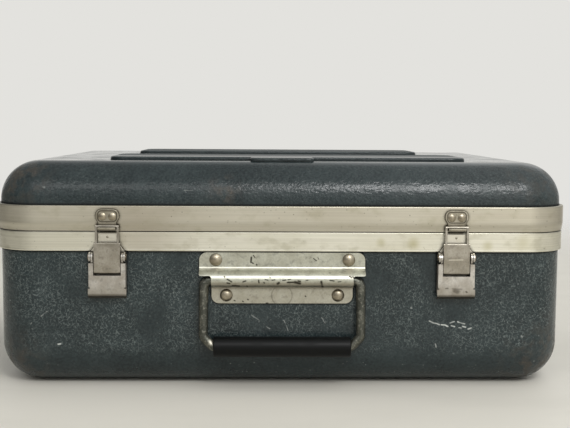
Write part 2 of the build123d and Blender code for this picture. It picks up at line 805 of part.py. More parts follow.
    strike_rivets = rivet_group(
        front_plane(centre, neck_face_out), strike_points, small_rivet, neck_face_out + inner_leg_reach
    )
    save(strike_rivets, f"latch_strike_rivets_{side}")


# Rear hinges with built-in stops
middle_knuckle_half = middle_knuckle_length / 2
leaf_clear = knuckle_radius + leaf_to_knuckle_gap
lid_leaf_top = lid_band_top - lid_leaf_top_inset
lid_leaf_bottom = parting_height + leaf_clear
base_leaf_top = parting_height - leaf_clear
base_leaf_bottom = base_band_bottom + base_leaf_bottom_inset
base_leaf_face = band_proud + leaf_sheet
stop_side = base_leaf_face + stop_gap + stop_thickness / 2 - hinge_axis_out
stop_angle = lid_opening_angle - 90 + degrees(asin(stop_side / stop_reach))

for side, centre in hinge_centres.items():
    side_view = rear_side_plane(centre)

    # Lid leaf: plate on the lid band, one middle knuckle and a stop that meets the base leaf
    with BuildPart() as lid_leaf:
        with BuildSketch(rear_plane(centre, upper_proud)) as leaf_outline:
            with Locations((0, (lid_leaf_top + lid_leaf_bottom) / 2)):
                Rectangle(leaf_width, lid_leaf_top - lid_leaf_bottom)
            fillet(leaf_outline.vertices().group_by(Axis.Y)[-1], leaf_corner_radius)
        extrude(amount=leaf_sheet)
        with BuildSketch(side_view):
            with Locations((hinge_axis_out, parting_height)):
                Circle(knuckle_radius)
            with Locations((upper_proud + leaf_sheet / 2, parting_height + leaf_clear / 2)):
                Rectangle(leaf_sheet, leaf_clear + leaf_sheet)
        extrude(amount=middle_knuckle_half, both=True)
        with BuildSketch(side_view):
            with Locations(
                Location((hinge_axis_out, parting_height)) * Rot(0, 0, stop_angle) * Pos(stop_reach / 2, 0)
            ):
                Rectangle(stop_reach, stop_thickness)
        extrude(amount=stop_width / 2, both=True)
        with BuildSketch(side_view):
            with Locations((hinge_axis_out, parting_height)):
                Circle(hinge_pin_diameter / 2 + hinge_pin_clearance)
        extrude(amount=leaf_width / 2, both=True, mode=Mode.SUBTRACT)
        add(
            drill_row(
                rear_plane(centre, upper_proud + leaf_sheet),
                lid_leaf_points,
                hole_size(hinge_rivet),
                2 * leaf_sheet,
            ),
            mode=Mode.SUBTRACT,
        )
    save(lid_leaf, f"hinge_lid_leaf_{side}")

    # Base leaf: plate on the base band with a knuckle at each end
    outer_knuckle = leaf_width / 2 - middle_knuckle_half - knuckle_end_gap
    with BuildPart() as base_leaf:
        with BuildSketch(rear_plane(centre, band_proud)) as leaf_outline:
            with Locations((0, (base_leaf_top + base_leaf_bottom) / 2)):
                Rectangle(leaf_width, base_leaf_top - base_leaf_bottom)
            fillet(leaf_outline.vertices().group_by(Axis.Y)[0], leaf_corner_radius)
        extrude(amount=leaf_sheet)
        for knuckle_middle in (
            -(leaf_width - outer_knuckle) / 2,
            (leaf_width - outer_knuckle) / 2,
        ):
            with BuildSketch(rear_side_plane(centre + knuckle_middle)):
                with Locations((hinge_axis_out, parting_height)):
                    Circle(knuckle_radius)
                with BuildLine():
                    Polyline(
                        (band_proud, base_leaf_top - leaf_sheet),
                        (base_leaf_face, base_leaf_top - leaf_sheet),
                        (hinge_axis_out, parting_height - knuckle_radius / 2),
                        (hinge_axis_out - knuckle_radius, parting_height),
                        (band_proud, base_leaf_top),
                        close=True,
                    )
                make_face()
            extrude(amount=outer_knuckle / 2, both=True)
        with BuildSketch(side_view):
            with Locations((hinge_axis_out, parting_height)):
                Circle(hinge_pin_diameter / 2)
        extrude(amount=leaf_width / 2, both=True, mode=Mode.SUBTRACT)
        add(
            drill_row(rear_plane(centre, base_leaf_face), base_leaf_points, hole_size(hinge_rivet), 2 * leaf_sheet),
            mode=Mode.SUBTRACT,
        )
    save(base_leaf, f"hinge_base_leaf_{side}")

    with BuildPart() as hinge_pin:
        with BuildSketch(side_view):
            with Locations((hinge_axis_out, parting_height)):
                Circle(hinge_pin_diameter / 2)
        extrude(amount=leaf_width / 2, both=True)
        for direction in (-1, 1):
            head_plane = Plane(
                origin=(centre + direction * leaf_width / 2, half_depth + hinge_axis_out, parting_height),
                z_dir=(direction, 0, 0),
            )
            with BuildSketch(head_plane):
                Circle(hinge_pin_head / 2)
            extrude(amount=hinge_pin_head_height)
    save(hinge_pin, f"hinge_pin_{side}")

    lid_leaf_rivets = rivet_group(
        rear_plane(centre, upper_proud + leaf_sheet),
        lid_leaf_points,
        hinge_rivet,
        upper_proud + leaf_sheet + inner_leg_reach,
    )
    save(lid_leaf_rivets, f"hinge_lid_rivets_{side}")

    base_leaf_rivets = rivet_group(
        rear_plane(centre, base_leaf_face), base_leaf_points, hinge_rivet, base_leaf_face + inner_leg_reach
    )
    save(base_leaf_rivets, f"hinge_base_rivets_{side}")


# Base foam: a block with a computer compartment, an accessory compartment and finger scoops
foam_inset = wall + foam_wall_gap
foam_width = case_width - 2 * foam_inset
foam_depth = case_depth - 2 * foam_inset
foam_top = parting_height - base_foam_top_gap
compartment_length = foam_depth - 2 * foam_rim_front
computer_width = foam_width - 2 * foam_rim_side - compartment_web - accessory_width
computer_x = -foam_width / 2 + foam_rim_side + computer_width / 2
accessory_x = foam_width / 2 - foam_rim_side - accessory_width / 2

with BuildPart() as base_foam:
    with BuildSketch(Plane.XY.offset(wall)):
        RectangleRounded(foam_width, foam_depth, foam_corner_radius)
    extrude(amount=foam_top - wall)
    fillet(base_foam.faces().sort_by(Axis.Z)[0].edges(), base_foam_edge_radius)
    with BuildSketch(Plane.XY.offset(foam_top)):
        with Locations((computer_x, 0)):
            RectangleRounded(computer_width, compartment_length, compartment_corner_radius)
        with Locations((accessory_x, 0)):
            RectangleRounded(accessory_width, compartment_length, compartment_corner_radius)
    extrude(amount=-compartment_depth, mode=Mode.SUBTRACT)
    with BuildSketch(Plane.XY.offset(foam_top)):
        with Locations((computer_x, -compartment_length / 2), (computer_x, compartment_length / 2)):
            Circle(finger_scoop_radius)
    extrude(amount=-finger_scoop_depth, mode=Mode.SUBTRACT)
save(base_foam, "base_foam")

# Lid foam: a plain pad that fills the lid down to just above the parting plane
with BuildPart() as lid_foam:
    with BuildSketch(Plane.XY.offset(parting_height + lid_foam_bottom_gap)):
        RectangleRounded(foam_width, foam_depth, foam_corner_radius)
    extrude(amount=lid_height - wall - lid_foam_bottom_gap)
    fillet(lid_foam.faces().sort_by(Axis.Z)[-1].edges(), lid_foam_edge_radius)
save(lid_foam, "lid_foam")
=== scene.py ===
"""Looks of an old hard-shell computer carrying case, built round its solid pieces.

Everything is in metres in the frame of the solids: +X runs along the front, +Y points to
the hinge side and +Z is up. Only the marks on the surfaces are listed in millimetres.
"""

import json
from functools import partial
from math import pi, radians

import bmesh
import bpy
import numpy as np
from mathutils import Matrix, Vector


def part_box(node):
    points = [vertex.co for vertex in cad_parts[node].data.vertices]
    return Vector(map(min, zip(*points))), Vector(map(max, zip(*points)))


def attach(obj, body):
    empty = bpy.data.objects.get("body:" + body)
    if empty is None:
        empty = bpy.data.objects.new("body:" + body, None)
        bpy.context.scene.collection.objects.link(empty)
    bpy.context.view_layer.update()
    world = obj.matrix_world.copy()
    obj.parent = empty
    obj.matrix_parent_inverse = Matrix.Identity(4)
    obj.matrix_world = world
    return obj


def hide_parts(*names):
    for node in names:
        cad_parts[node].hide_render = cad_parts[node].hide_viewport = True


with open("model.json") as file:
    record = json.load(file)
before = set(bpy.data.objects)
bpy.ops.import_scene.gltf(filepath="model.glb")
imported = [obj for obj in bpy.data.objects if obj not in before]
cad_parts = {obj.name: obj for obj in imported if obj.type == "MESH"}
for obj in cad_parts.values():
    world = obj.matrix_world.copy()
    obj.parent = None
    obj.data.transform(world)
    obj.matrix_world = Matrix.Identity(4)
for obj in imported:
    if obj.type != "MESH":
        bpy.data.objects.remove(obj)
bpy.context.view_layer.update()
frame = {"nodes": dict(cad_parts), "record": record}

mm = 0.001

# Body and material slot of each node of the solids
bodies = frame["record"]["behaviour"]["bodies"]
node_bodies = {node: body for body, nodes in bodies.items() for node in nodes}
node_slots = {part["node"]: part["material_slot"] for part in frame["record"]["subparts"]}

# Camera of the picture: place in metres, turns in degrees
camera_place = (-0.0182, -1.0345, 0.2277)
camera_yaw = 1.363
camera_pitch = 5.177
camera_roll = 0.366
picture_width = 570
focal_length_pixels = 1000
sensor_width = 36.0

# Places read from the solids
shell_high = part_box("base_shell")[1]
base_band_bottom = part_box("base_band")[0].z
lid_band_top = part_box("lid_band")[1].z

# Walls and bands, which the solids are built to as well
plan_corner_radius = 38 * mm
wall = 4 * mm
slot_clearance = 0.1 * mm
band_proud = 2.6 * mm
inner_leg = 1.6 * mm
parting_height = 135.5 * mm
seam_gap = 0.3 * mm
tongue_width = 1.6 * mm
tongue_height = 2.4 * mm
groove_clearance = 0.35 * mm
base_band_web = 2.4 * mm
lid_band_web = 3.8 * mm
base_leg_height = 14 * mm
lid_leg_height = 18 * mm
lid_band_step = 143 * mm
lid_band_step_proud = 0.9 * mm
band_joint_slit = 0.5 * mm

# Finer forms of the bands: rolled upper edges, the slope up to the lid band's step, and a low
# rib near the base band's lower edge
edge_roll = 1.1 * mm
roll_steps = np.array([1, 0.8, 0.62, 0.47, 0.34, 0.22, 0.12, 0.05, 0.01])
step_slope = 7 * mm
rib_above_edge = 0.9 * mm
rib_width = 0.35 * mm
rib_rise = 0.12 * mm

# Heights over which the lid's sides turn level, and over which its raised pads do, and the
# depths over which the finish of the front pad goes from glossy to dull
lid_shoulder = (186 * mm, 192 * mm)
pad_shoulder = (195.6 * mm, 196.8 * mm)
glossy_depth, dull_depth = -118 * mm, -72 * mm

table_radius = 1.8
room_brightness = 0.7

# Soft lamps: name, place, aim, size in metres and power in watts
lamps = [
    ("window_light", (0.48, -1.75, 1.55), (0.05, -0.1, 0.1), (0.6, 0.5), 15),
    ("left_light", (-0.65, -1.75, 1.6), (0, -0.1, 0.1), (1.1, 0.5), 3.5),
]

# Setting of a Map Range node that leaves its first value and reaches its second one gently
gentle = {"interpolation_type": "SMOOTHSTEP"}


def linear(hex_colour):
    """An sRGB hex colour as linear RGBA."""
    channels = [int(hex_colour[i : i + 2], 16) / 255 for i in (1, 3, 5)]
    return [c / 12.92 if c <= 0.04045 else ((c + 0.055) / 1.055) ** 2.4 for c in channels] + [1.0]


def add_node(tree, kind, inputs=(), **settings):
    """Adds one shader node, sets its properties and gives its sockets values or links.

    Sockets go by name or number. Map Range takes a value (0) from one range (1, 2) to another
    (3, 4), and Mix goes by its factor (0) between two numbers (2, 3) or two colours (6, 7).
    """
    node = tree.nodes.new("ShaderNode" + kind)
    for name, value in settings.items():
        setattr(node, name, value)
    for socket, value in dict(inputs).items():
        if isinstance(value, bpy.types.NodeSocket):
            tree.links.new(value, node.inputs[socket])
        else:
            node.inputs[socket].default_value = value
    return node


def new_material(name):
    """An empty material, the function that adds its nodes, and Object coordinates."""
    material = bpy.data.materials.new(name)
    material.use_nodes = True
    material.node_tree.nodes.clear()
    add = partial(add_node, material.node_tree)
    return material, add, add("TexCoord").outputs["Object"]


def finish_material(material, add, colour, roughness, height, relief, strength=1.0, **constants):
    """Joins colour, roughness and a height map into one surface shader.

    The height map is as high as relief and shows by its strength. The constants are sockets
    that are the same all over, with _ in place of the spaces in their names.
    """
    bump = add("Bump", {"Height": height, "Distance": relief, "Strength": strength})
    inputs = {"Base Color": colour, "Roughness": roughness, "Normal": bump.outputs[0]}
    inputs.update((socket.replace("_", " "), value) for socket, value in constants.items())
    shader = add("BsdfPrincipled", inputs)
    add("OutputMaterial", {"Surface": shader.outputs[0]})
    return material


def patches(add, coords, size, low, high, detail=4.0, stretch=(1, 1, 1)):
    """Soft patches about size across: 0 where the noise is under low and 1 where it is over high."""
    placed = add("Mapping", {"Vector": coords, "Scale": [s / size for s in stretch]})
    noise = add("TexNoise", {"Vector": placed.outputs[0], "Scale": 1.0, "Detail": detail})
    return add("MapRange", {0: noise.outputs[0], 1: low, 2: high}, **gentle).outputs[0]


def where_all(add, *masks):
    """Product of several masks and numbers: strong only where all of them are."""
    total = masks[0]
    for mask in masks[1:]:
        total = add("Math", {0: total, 1: mask}, operation="MULTIPLY").outputs[0]
    return total


def where_any(add, *masks):
    """The strongest of several masks at each point."""
    total = masks[0]
    for mask in masks[1:]:
        total = add("Math", {0: total, 1: mask}, operation="MAXIMUM").outputs[0]
    return total


def coated(add, below, above, *masks):
    """A colour laid over another one where all of the masks are strong."""
    below, above = (linear(c) if isinstance(c, str) else c for c in (below, above))
    return add("Mix", {0: where_all(add, *masks), 6: below, 7: above}, data_type="RGBA").outputs[2]


def specks(add, coords, spacing, radius, share):
    """Small dots, faint and strong, in about a share of the cells of a random net."""
    cells = add("TexVoronoi", {"Vector": coords, "Scale": 1 / spacing})
    reach = radius / spacing
    dots = add("MapRange", {0: cells.outputs["Distance"], 1: reach, 2: 0.4 * reach})
    strength = add("MapRange", {0: cells.outputs["Color"], 1: share, 2: 0.4 * share})
    return where_all(add, dots.outputs[0], strength.outputs[0])


def dashes(add, coords, turn, length, width, spacing, share):
    """Short scores at one turn across the front: specks on a net that is drawn out along them."""
    turned = add("Mapping", {"Vector": coords, "Rotation": (0, radians(turn), 0)})
    drawn = add("Mapping", {"Vector": turned.outputs[0], "Scale": (width / length, 1, 1)})
    return specks(add, drawn.outputs[0], spacing, width / 2, share)


def stroke(add, coords, start, end, width):
    """One line from start to end, given in millimetres: 1 on the line and 0 beyond its width. Scratches
    and painted highlights and shade are drawn with it.
    """
    start, end = Vector(start) * mm, Vector(end) * mm
    along = end - start
    offset = add("VectorMath", {0: coords, 1: start}, operation="SUBTRACT").outputs[0]
    ruler = along / along.length_squared
    share = add("VectorMath", {0: offset, 1: ruler}, operation="DOT_PRODUCT").outputs["Value"]
    share = add("Math", {0: share, 1: 1.0}, operation="MULTIPLY", use_clamp=True).outputs[0]
    foot = add("VectorMath", {0: along, "Scale": share}, operation="SCALE").outputs[0]
    away = add("VectorMath", {0: offset, 1: foot}, operation="DISTANCE").outputs["Value"]
    return add("MapRange", {0: away, 1: width * mm, 2: 0.3 * width * mm}).outputs[0]


def spot(add, coords, centre, radius):
    """A soft round spot round a centre in millimetres: 1 in the middle and 0 at its radius."""
    away = add("VectorMath", {0: coords, 1: Vector(centre) * mm}, operation="DISTANCE").outputs["Value"]
    return add("MapRange", {0: away, 1: radius * mm, 2: 0.0}, **gentle).outputs[0]


def ring(add, coords, centre, radius, width):
    """A thin soft ring round a centre in millimetres."""
    away = add("VectorMath", {0: coords, 1: Vector(centre) * mm}, operation="DISTANCE").outputs["Value"]
    edge = add("Math", {0: away, 1: radius * mm}, operation="SUBTRACT").outputs[0]
    edge = add("Math", {0: edge}, operation="ABSOLUTE").outputs[0]
    return add("MapRange", {0: edge, 1: width * mm, 2: 0.0}).outputs[0]


def outline(add, coords, centre, half_size, corner, width):
    """A thin line along a rounded rectangle on the front, alike on both sides of the case.

    Distance to the outline = length of the positive part of (|place| - half size + corner) - corner.
    """
    middle = (centre[0] * mm, 0, centre[1] * mm)
    inner = ((half_size[0] - corner) * mm, 0, (half_size[1] - corner) * mm)
    mirrored = add("VectorMath", {0: coords}, operation="ABSOLUTE").outputs[0]
    offset = add("VectorMath", {0: mirrored, 1: middle}, operation="SUBTRACT").outputs[0]
    offset = add("VectorMath", {0: offset, 1: (1, 0, 1)}, operation="MULTIPLY").outputs[0]
    offset = add("VectorMath", {0: offset}, operation="ABSOLUTE").outputs[0]
    past = add("VectorMath", {0: offset, 1: inner}, operation="SUBTRACT").outputs[0]
    past = add("VectorMath", {0: past, 1: (0, 0, 0)}, operation="MAXIMUM").outputs[0]
    away = add("VectorMath", {0: past}, operation="LENGTH").outputs["Value"]
    edge = add("Math", {0: away, 1: corner * mm}, operation="SUBTRACT").outputs[0]
    edge = add("Math", {0: edge}, operation="ABSOLUTE").outputs[0]
    return add("MapRange", {0: edge, 1: width * mm, 2: 0.3 * width * mm}).outputs[0]


def shade_and_soiling(add, reach, open_share, closed_share):
    """Painted shade and soiling: 1 in corners and along fittings within reach, 0 on open surfaces."""
    openness = add("AmbientOcclusion", {"Distance": reach}, samples=12).outputs["AO"]
    return add("MapRange", {0: openness, 1: open_share, 2: closed_share}).outputs[0]


def wrinkles(add, coords, size, width):
    """Worm-like lines: the places where a noise about size across is close to its middle value."""
    noise = add("TexNoise", {"Vector": coords, "Scale": 1 / size, "Detail": 1.5}).outputs[0]
    away = add("Math", {0: noise, 1: 0.5}, operation="SUBTRACT").outputs[0]
    away = add("Math", {0: away}, operation="ABSOLUTE").outputs[0]
    return add("MapRange", {0: away, 1: width, 2: 0.2 * width}).outputs[0]


def height_shade(add, coords, start, end):
    """A soft change with height: 0 at start and 1 at end, both heights above the table."""
    height = add("SeparateXYZ", {0: coords}).outputs["Z"]
    return add("MapRange", {0: height, 1: start, 2: end}, **gentle).outputs[0]


def shaded(add, coords, colour, shades):
    """A colour that changes with height: start, end, tone and strength of each change."""
    for start, end, tone, strength in shades:
        colour = coated(add, colour, tone, height_shade(add, coords, start, end), strength)
    return colour


def wandering(add, coords):
    """Coordinates pushed about by up to 1.5 mm, so that marks drawn on them aren't quite straight."""
    noise = add("TexNoise", {"Vector": coords, "Scale": 1 / (9 * mm), "Detail": 2.0})
    push = add("VectorMath", {0: noise.outputs[1], 1: (0.5, 0.5, 0.5)}, operation="SUBTRACT")
    push = add("VectorMath", {0: push.outputs[0], "Scale": 3 * mm}, operation="SCALE")
    return add("VectorMath", {0: coords, 1: push.outputs[0]}).outputs[0]


def rubbed_through(add, coords, bent, places):
    """Ragged wear round some places: centre and radius in millimetres, and strength of each."""
    worn = []
    for centre, radius, strength in places:
        ragged = patches(add, bent, 8 * mm, 0.38, 0.66, detail=8.0)
        worn.append(where_all(add, ragged, spot(add, coords, centre, radius), strength))
    return where_any(add, *worn)


def scuffed(add, coords, bent, colour, wear):
    """Years of travel on the plastic's colour: dark dints, and by wear pale worms, scores and nicks.

    The real marks are hair-thin. They are drawn up to a millimetre or so wide, to show in the
    picture.
    """
    traffic = patches(add, coords, 38 * mm, 0.3, 0.62)
    flat_part = height_shade(add, coords, 22 * mm, 40 * mm)
    long_dints = dashes(
        add, bent, turn=55, length=5 * mm, width=1.1 * mm, spacing=3.4 * mm, share=0.4
    )
    round_dints = specks(add, bent, spacing=3.8 * mm, radius=1.1 * mm, share=0.45)
    worms = wrinkles(add, bent, size=3.2 * mm, width=0.035)
    scores = where_any(add, *(dashes(add, bent, *score) for score in plastic_scores))
    nicks = specks(add, bent, spacing=5.5 * mm, radius=0.8 * mm, share=0.5)
    colour = coated(add, colour, "#12171a", where_any(add, long_dints, round_dints), 0.6)
    colour = coated(add, colour, "#79827f", worms, traffic, flat_part, 0.42 * wear)
    colour = coated(add, colour, "#868e8c", scores, traffic, flat_part, 0.5 * wear)
    return coated(add, colour, "#a3a8a4", nicks, 0.4 * wear)


def plastic_shine(add, coords, smears, worn, shade):
    """Roughness of the plastic, and how strongly its grain shows.

    Sides shine softly and are dull where worn. Level faces are glossier and smoother, but the
    tops of the raised pads get duller from front to rear. Hollows hardly shine.
    """
    facing_up = add("SeparateXYZ", {0: add("TexCoord").outputs["Normal"]}).outputs["Z"]
    level = add("MapRange", {0: facing_up, 1: 0.8, 2: 0.99}).outputs[0]
    side_roughness = add("MapRange", {0: smears, 3: 0.2, 4: 0.3}).outputs[0]
    side_roughness = add("Mix", {0: worn, 2: side_roughness, 3: 0.6}).outputs[0]
    top_roughness = add("MapRange", {0: smears, 3: 0.1, 4: 0.22}).outputs[0]
    on_pads = height_shade(add, coords, *pad_shoulder)
    depth = add("SeparateXYZ", {0: coords}).outputs["Y"]
    pad_finish = add("MapRange", {0: depth, 1: glossy_depth, 2: dull_depth, 3: 0.26, 4: 0.55})
    top_roughness = add("Mix", {0: on_pads, 2: top_roughness, 3: pad_finish.outputs[0]}).outputs[0]
    roughness = add("Mix", {0: level, 2: side_roughness, 3: top_roughness}).outputs[0]
    roughness = add("Mix", {0: shade, 2: roughness, 3: 0.9}).outputs[0]
    return roughness, add("MapRange", {0: level, 3: 1.0, 4: 0.15}).outputs[0]


def moulded_plastic(name, strokes, gouges, worn_places, wear):
    """Moulded ABS, pebbled and old: near-black slate, nicked and scuffed, matt brown at its corners.

    The mould gave it pebbles of 2 mm on waves of 3 mm.
    """
    material, add, coords = new_material(name)
    bent = wandering(add, coords)
    smears = patches(add, coords, 22 * mm, 0.42, 0.72, detail=6.0)
    pebbles = patches(add, coords, 2.2 * mm, 0.3, 0.7, detail=3.0)
    waves = patches(add, coords, 3.0 * mm, 0.3, 0.7, detail=1.0, stretch=(0.6, 1, 1))
    grain = add("Math", {0: waves, 1: 1.3, 2: pebbles}, operation="MULTIPLY_ADD").outputs[0]
    colour = coated(add, "#192123", "#222b2d", patches(add, coords, 80 * mm, 0.3, 0.7))
    colour = coated(add, colour, "#343e3f", smears, 0.3)
    colour = coated(add, colour, "#3f4a4a", pebbles, 0.3)

    worn = rubbed_through(add, coords, bent, worn_places)
    colour = coated(add, colour, "#3f3a33", worn)
    pale_dots = specks(add, bent, spacing=2.0 * mm, radius=0.9 * mm, share=0.6)
    colour = coated(add, colour, "#6f665a", pale_dots, worn, 0.55)
    colour = scuffed(add, coords, bent, colour, wear)
    scratches = [where_all(add, stroke(add, bent, *line), share) for *line, share in strokes]
    colour = coated(add, colour, "#c6c9c4", where_any(add, *scratches))
    for line in gouges:
        colour = coated(add, colour, "#0b0d0d", stroke(add, bent, *line), 0.9)

    # Painted shade and grime along the fittings, and only a third as dark round the raised pads
    on_top = height_shade(add, coords, *lid_shoulder)
    shade_share = add("MapRange", {0: on_top, 3: 1.0, 4: 0.35}).outputs[0]
    corners = shade_and_soiling(add, 3 * mm, open_share=0.87, closed_share=0.72)
    shade = where_all(add, corners, shade_share)
    colour = coated(add, colour, "#0b0d0d", shade, 0.85)
    roughness, grain_share = plastic_shine(add, coords, smears, worn, shade)
    return finish_material(
        material, add, colour, roughness, grain, relief=0.07 * mm, strength=grain_share,
        IOR=1.5, Specular_IOR_Level=0.34,
    )


def aged_aluminium(name, dark, light, stains, shades):
    """Extruded aluminium: satin, with die lines, pits, scuffs, a warm bloom of age, darker upper edges,
    and painted shade and soiling along its fittings.

    Real die lines are a tenth of a millimetre apart. They are drawn 0.8 mm apart, and pits and
    scuffs about a millimetre wide, to show in the picture.
    """
    material, add, coords = new_material(name)
    die_lines = patches(add, coords, 0.8 * mm, 0.3, 0.7, detail=3.0, stretch=(0.006, 0.006, 1))
    wide_lines = patches(add, coords, 3.2 * mm, 0.35, 0.65, detail=1.0, stretch=(0.008, 0.008, 1))
    blotches = patches(add, coords, 26 * mm, 0.35, 0.7, detail=6.0, stretch=(0.5, 0.5, 1))
    bloom = patches(add, coords, 9 * mm, 0.5, 0.75, detail=6.0, stretch=(0.6, 0.6, 1))
    pits = specks(add, coords, spacing=4.5 * mm, radius=0.7 * mm, share=0.4)
    scuffs = where_any(add, *(dashes(add, coords, *scuff) for scuff in band_scuffs))
    colour = coated(add, dark, light, blotches)
    colour = coated(add, colour, light, wide_lines, 0.4)
    colour = coated(add, colour, "#9c9786", die_lines, 0.2)
    colour = coated(add, colour, "#a19c80", bloom, 0.35)
    for centre, radius, stain in stains:
        colour = coated(add, colour, stain, spot(add, coords, centre, radius), 0.5)
    colour = coated(add, colour, "#8f8977", scuffs, 0.4)
    colour = coated(add, colour, "#5a5446", pits, 0.6)
    colour = shaded(add, coords, colour, shades)
    # Painted shade and soiling where the bands meet the shells and the fittings
    soiling_and_shade = shade_and_soiling(add, 3 * mm, open_share=0.96, closed_share=0.7)
    colour = coated(add, colour, "#3a352b", soiling_and_shade, 0.85)
    roughness = add("MapRange", {0: blotches, 3: 0.34, 4: 0.42}).outputs[0]
    return finish_material(
        material, add, colour, roughness, die_lines, relief=0.015 * mm, Metallic=1.0
    )


def plated_steel(
    name, dark, light, grime_and_shade, strokes=(), rings=(), outlines=(), shades=(), stripes_and_painted_light=(),
    corner_shade_share=0.75, pit_share=0.2, roughest=0.38,
):
    """Plated sheet steel, dulled by handling: mottled and stained, pitted, with painted shade and old
    grease in its corners.

    Real pits are a few tenths of a millimetre across. They are drawn about a millimetre across,
    to show in the picture.
    """
    material, add, coords = new_material(name)
    mottle = patches(add, coords, 7 * mm, 0.3, 0.7, detail=6.0)
    grain = patches(add, coords, 1.4 * mm, 0.3, 0.7, detail=3.0)
    pits = specks(add, coords, spacing=2.6 * mm, radius=0.6 * mm, share=pit_share)
    stained = patches(add, coords, 3.5 * mm, 0.5, 0.72, detail=6.0)
    colour = coated(add, dark, light, mottle)
    colour = coated(add, colour, grime_and_shade, grain, 0.14)
    colour = coated(add, colour, grime_and_shade, stained, 0.36)
    # Painted shade and soiling in the corners and along neighbouring pieces
    corners = shade_and_soiling(add, 3.5 * mm, open_share=0.93, closed_share=0.6)
    colour = coated(add, colour, grime_and_shade, corners, corner_shade_share)
    colour = shaded(add, coords, colour, shades)
    # Stripes: scratches and marks, and on the handle plate painted highlights and painted shade along
    # its bends
    for start, end, width, tone, strength in stripes_and_painted_light:
        colour = coated(add, colour, tone, stroke(add, coords, start, end, width), strength)
    for centre, radius, width in rings:
        colour = coated(add, colour, grime_and_shade, ring(add, coords, centre, radius, width), 0.4)
    for line in outlines:
        colour = coated(add, colour, grime_and_shade, outline(add, coords, *line), 0.8)
    marks = where_any(add, pits, *(stroke(add, coords, *line) for line in strokes))
    colour = coated(add, colour, grime_and_shade, marks, 0.95)
    roughness = add("MapRange", {0: mottle, 3: roughest - 0.08, 4: roughest}).outputs[0]
    return finish_material(material, add, colour, roughness, grain, relief=0.02 * mm, Metallic=1.0)


def blackened_steel():
    """Steel rod whose dark finish is rubbed: olive grey, flecked with bare metal."""
    material, add, coords = new_material("blackened_steel_rod")
    rubbed = patches(add, coords, 1.8 * mm, 0.5, 0.68, detail=5.0)
    worn = patches(add, coords, 14 * mm, 0.4, 0.7, detail=3.0)
    colour = coated(add, "#4b4c45", "#5f5f56", worn)
    colour = coated(add, colour, "#97958a", rubbed, 0.6)
    colour = coated(add, colour, "#d9d4c4", spot(add, coords, *bare_steel_spot))
    roughness = add("MapRange", {0: rubbed, 3: 0.34, 4: 0.46}).outputs[0]
    return finish_material(material, add, colour, roughness, rubbed, relief=0.05 * mm, Metallic=0.85)


def black_vinyl():
    """Black vinyl tube of the grip: nearly smooth, with a soft shine and a few dull rubs."""
    material, add, coords = new_material("black_vinyl_grip")
    rubs = patches(add, coords, 5 * mm, 0.5, 0.75, detail=5.0, stretch=(0.25, 1, 1))
    colour = coated(add, "#060707", "#101212", rubs, 0.5)
    roughness = add("MapRange", {0: rubs, 3: 0.4, 4: 0.55}).outputs[0]
    return finish_material(
        material, add, colour, roughness, rubs, relief=0.03 * mm, IOR=1.45, Specular_IOR_Level=0.2
    )


def charcoal_foam():
    """Open-cell polyurethane foam: matt charcoal with a cell texture and pale lint.

    Real cells are about half a millimetre. They are drawn 1.6 mm across, to show in the picture.
    """
    material, add, coords = new_material("charcoal_foam")
    net = add("TexVoronoi", {"Vector": coords, "Scale": 1 / (1.6 * mm)}, feature="SMOOTH_F1")
    cells = net.outputs["Distance"]
    pores = add("MapRange", {0: cells, 1: 0.5, 2: 0.0}).outputs[0]
    colour = coated(add, "#1f2023", "#2a2b2f", patches(add, coords, 40 * mm, 0.3, 0.7))
    colour = coated(add, colour, "#0d0d0f", pores, 0.6)
    lint = specks(add, coords, spacing=7 * mm, radius=0.7 * mm, share=0.4)
    colour = coated(add, colour, "#6a6c70", lint, 0.5)
    return finish_material(material, add, colour, 0.95, cells, relief=0.5 * mm, Sheen_Weight=0.2)


def pale_paint():
    """Painted table top: warm white with faint grey smears, clear far out so that the room shows."""
    material, add, coords = new_material("pale_painted_table")
    smears = patches(add, coords, 90 * mm, 0.4, 0.7, detail=6.0, stretch=(0.4, 1, 1))
    colour = coated(add, "#d9d5cb", "#ccc8be", smears, 0.4)
    away = add("VectorMath", {0: coords}, operation="LENGTH").outputs["Value"]
    fade = add("MapRange", {0: away, 1: 0.7, 2: table_radius - 0.1}, **gentle).outputs[0]
    paint = add("BsdfPrincipled", {"Base Color": colour, "Roughness": 0.6})
    clear = add("BsdfTransparent")
    seen = add("MixShader", {0: fade, 1: paint.outputs[0], 2: clear.outputs[0]})
    add("OutputMaterial", {"Surface": seen.outputs[0]})
    return material


def finished_piece(name, mesh, material, node):
    """Puts a finished mesh in the place of a solid: on its body and a material."""
    piece = bpy.data.objects.new(name, mesh)
    bpy.context.scene.collection.objects.link(piece)
    mesh.materials.clear()
    mesh.materials.append(material)
    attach(piece, node_bodies[node])
    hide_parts(node)
    return piece


def round_edges(piece, name, width, angle):
    """Rounds the edges of a piece that turn by more than an angle in degrees."""
    rounding = piece.modifiers.new(name, "BEVEL")
    rounding.width = width
    rounding.segments = 2
    rounding.limit_method = "ANGLE"
    rounding.angle_limit = radians(angle)
    rounding.harden_normals = True


def merged_mesh(node):
    """A copy of a solid's mesh with its doubles merged and its flat faces joined."""
    mesh = frame["nodes"][node].data.copy()
    shape = bmesh.new()
    shape.from_mesh(mesh)
    bmesh.ops.remove_doubles(shape, verts=shape.verts, dist=0.002 * mm)
    bmesh.ops.dissolve_limit(shape, angle_limit=radians(0.5), verts=shape.verts, edges=shape.edges)
    shape.to_mesh(mesh)
    shape.free()
    if "custom_normal" in mesh.attributes:
        mesh.attributes.remove(mesh.attributes["custom_normal"])
    return mesh


def softened(node, material, edge):
    """A solid's own shape with every sharp edge rounded, as on stamped and tumbled metal."""
    mesh = merged_mesh(node)
    mesh.shade_smooth()
    piece = finished_piece(node + "_finished", mesh, material, node)
    round_edges(piece, "rounded_edges", edge, 35)


